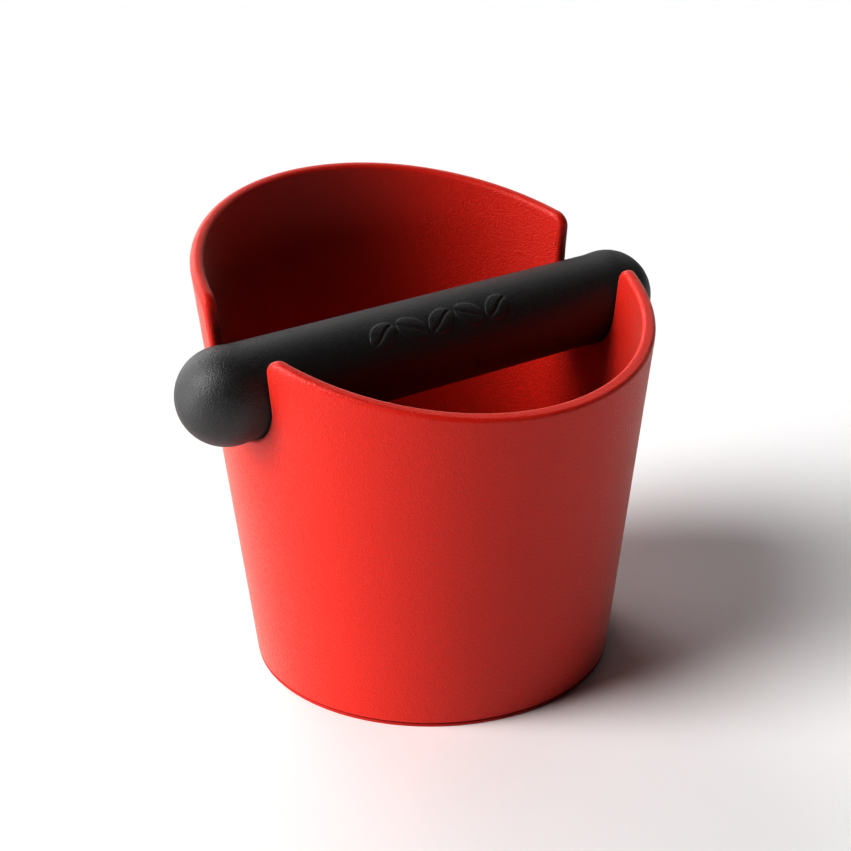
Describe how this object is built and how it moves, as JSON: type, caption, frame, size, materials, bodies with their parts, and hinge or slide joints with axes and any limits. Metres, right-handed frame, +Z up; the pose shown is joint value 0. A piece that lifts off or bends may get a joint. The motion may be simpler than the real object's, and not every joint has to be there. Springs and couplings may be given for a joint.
{
  "type": "espresso knock box",
  "caption": "Tapered plastic tub with a slanted rim and a rubber-covered knock bar that rests in two open notches and lifts out.",
  "frame": {"origin": "centre of the foot ring's underside, on the table", "axes": "+X along the bar, -Y towards the low front of the rim, +Z up"},
  "size_m": [0.1596, 0.1297, 0.1312],
  "materials": {
    "tub_plastic": "satin, fine spark-eroded grain",
    "foot_rubber": "matte",
    "core_steel": "ground",
    "bar_rubber": "matte, fine grain"
  },
  "bodies": {
    "box": {"tub": "tub_plastic", "foot_ring": "foot_rubber"},
    "bar": {"bar_core": "core_steel"},
    "bar_skin": {"bar_cover": "bar_rubber"}
  },
  "joints": [
    {"name": "bar_lift", "type": "slide", "parent": "box", "child": "bar", "axis": [0, 0, 1], "range_m": [0, 0.06]},
    {"name": "bar_spin", "type": "hinge", "parent": "bar", "child": "bar_skin", "pos_m": [0, 0, 0.0941], "axis": [1, 0, 0], "continuous": true}
  ]
}
